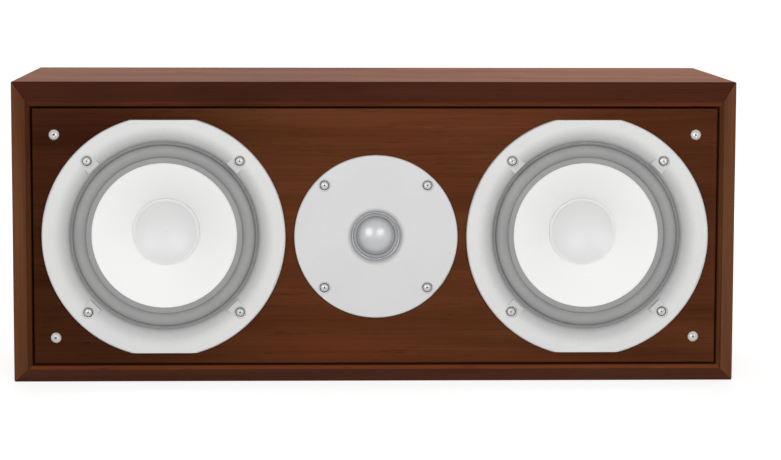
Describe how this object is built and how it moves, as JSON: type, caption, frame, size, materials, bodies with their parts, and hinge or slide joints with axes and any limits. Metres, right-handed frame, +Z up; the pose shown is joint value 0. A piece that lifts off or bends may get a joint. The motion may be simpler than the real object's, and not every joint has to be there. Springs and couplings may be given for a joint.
{
  "type": "center channel speaker",
  "caption": "Low wide wood-veneered loudspeaker with a bevelled front edge, white woofer cones either side of a dome tweeter, a flared rear port and screw-down terminals; stands under a screen.",
  "frame": {"origin": "centre of the bottom face, under the middle of the cabinet", "axes": "+X along the cabinet to the right as seen from the front, +Y to the rear, +Z up"},
  "size_m": [0.48, 0.229, 0.2],
  "materials": {
    "walnut_veneer": "satin lacquer",
    "raw_board": "raw",
    "seal_foam": "matt foam",
    "wadding": "fibre fill",
    "basket_paint": "satin",
    "plate_paint": "satin",
    "surround_rubber": "matt",
    "cone_polymer": "satin",
    "dome_metal": "polished",
    "dome_roll": "matt",
    "coil_copper": "enamelled wire",
    "spider_cloth": "resin-treated cloth",
    "motor_steel": "zinc plate",
    "ferrite": "ground ferrite",
    "tag_board": "phenolic board",
    "lead_braid": "braid",
    "screw_zinc": "bright zinc",
    "cup_plastic": "fine texture",
    "port_plastic": "fine texture",
    "post_brass": "gold plate",
    "knob_red": "gloss",
    "knob_black": "gloss",
    "board_laminate": "solder mask",
    "spacer_nylon": "moulded",
    "capacitor_sleeve": "film wrap",
    "resistor_cement": "cement",
    "wire_red": "soft insulation",
    "wire_black": "soft insulation"
  },
  "bodies": {
    "cabinet": {"top_panel": "walnut_veneer", "bottom_panel": "walnut_veneer", "left_side_panel": "walnut_veneer", "right_side_panel": "walnut_veneer", "rear_panel": "walnut_veneer", "front_baffle": "walnut_veneer", "baffle_battens": "raw_board", "baffle_seal": "seal_foam", "baffle_screws": "screw_zinc", "wadding_pads": "wadding", "woofer_screws": "screw_zinc", "tweeter_screws": "screw_zinc", "driver_gaskets": "seal_foam", "tweeter_faceplate": "plate_paint", "tweeter_surround": "dome_roll", "tweeter_top_plate": "motor_steel", "tweeter_magnet": "ferrite", "tweeter_yoke": "motor_steel", "tweeter_tags": "tag_board", "terminal_cup": "cup_plastic", "port_tube": "port_plastic", "post_nuts": "screw_zinc", "red_post_stud": "post_brass", "black_post_stud": "post_brass", "crossover_board": "board_laminate", "crossover_spacers": "spacer_nylon", "crossover_coils": "coil_copper", "crossover_capacitors": "capacitor_sleeve", "crossover_resistors": "resistor_cement", "small_screws": "screw_zinc", "red_wires": "wire_red", "black_wires": "wire_black", "left_woofer_basket": "basket_paint", "left_woofer_surround": "surround_rubber", "left_woofer_spider": "spider_cloth", "left_woofer_top_plate": "motor_steel", "left_woofer_magnet": "ferrite", "left_woofer_yoke": "motor_steel", "left_woofer_tags": "tag_board", "left_woofer_leads": "lead_braid", "right_woofer_basket": "basket_paint", "right_woofer_surround": "surround_rubber", "right_woofer_spider": "spider_cloth", "right_woofer_top_plate": "motor_steel", "right_woofer_magnet": "ferrite", "right_woofer_yoke": "motor_steel", "right_woofer_tags": "tag_board", "right_woofer_leads": "lead_braid"},
    "left_cone": {"left_woofer_cone": "cone_polymer", "left_woofer_dust_cap": "cone_polymer", "left_woofer_voice_coil": "coil_copper"},
    "right_cone": {"right_woofer_cone": "cone_polymer", "right_woofer_dust_cap": "cone_polymer", "right_woofer_voice_coil": "coil_copper"},
    "dome": {"tweeter_dome": "dome_metal", "tweeter_voice_coil": "coil_copper"},
    "red_clamp": {"red_post_washer": "post_brass"},
    "red_knob": {"red_post_knob": "knob_red"},
    "black_clamp": {"black_post_washer": "post_brass"},
    "black_knob": {"black_post_knob": "knob_black"}
  },
  "joints": [
    {"name": "left_cone_travel", "type": "slide", "parent": "cabinet", "child": "left_cone", "axis": [0, -1, 0], "range_m": [-0.004, 0.004], "stiffness_N_per_m": 1000, "deforming": ["left_woofer_surround", "left_woofer_spider", "left_woofer_leads"]},
    {"name": "right_cone_travel", "type": "slide", "parent": "cabinet", "child": "right_cone", "axis": [0, -1, 0], "range_m": [-0.004, 0.004], "stiffness_N_per_m": 1000, "deforming": ["right_woofer_surround", "right_woofer_spider", "right_woofer_leads"]},
    {"name": "dome_travel", "type": "slide", "parent": "cabinet", "child": "dome", "axis": [0, -1, 0], "range_m": [-0.0004, 0.0004], "stiffness_N_per_m": 300, "deforming": ["tweeter_surround"]},
    {"name": "red_clamp_travel", "type": "slide", "parent": "cabinet", "child": "red_clamp", "axis": [0, 1, 0], "range_m": [0, 0.00375]},
    {"name": "red_knob_turn", "type": "hinge", "parent": "red_clamp", "child": "red_knob", "pos_m": [-0.0095, 0.1, 0.1], "axis": [0, 1, 0], "range_deg": [0, 1080]},
    {"name": "black_clamp_travel", "type": "slide", "parent": "cabinet", "child": "black_clamp", "axis": [0, 1, 0], "range_m": [0, 0.00375]},
    {"name": "black_knob_turn", "type": "hinge", "parent": "black_clamp", "child": "black_knob", "pos_m": [0.0095, 0.1, 0.1], "axis": [0, 1, 0], "range_deg": [0, 1080]}
  ],
  "couplings": [
    {"joint": "red_knob_turn", "follows": "red_clamp_travel", "rad_per_m": 5026.5},
    {"joint": "black_knob_turn", "follows": "black_clamp_travel", "rad_per_m": 5026.5}
  ]
}
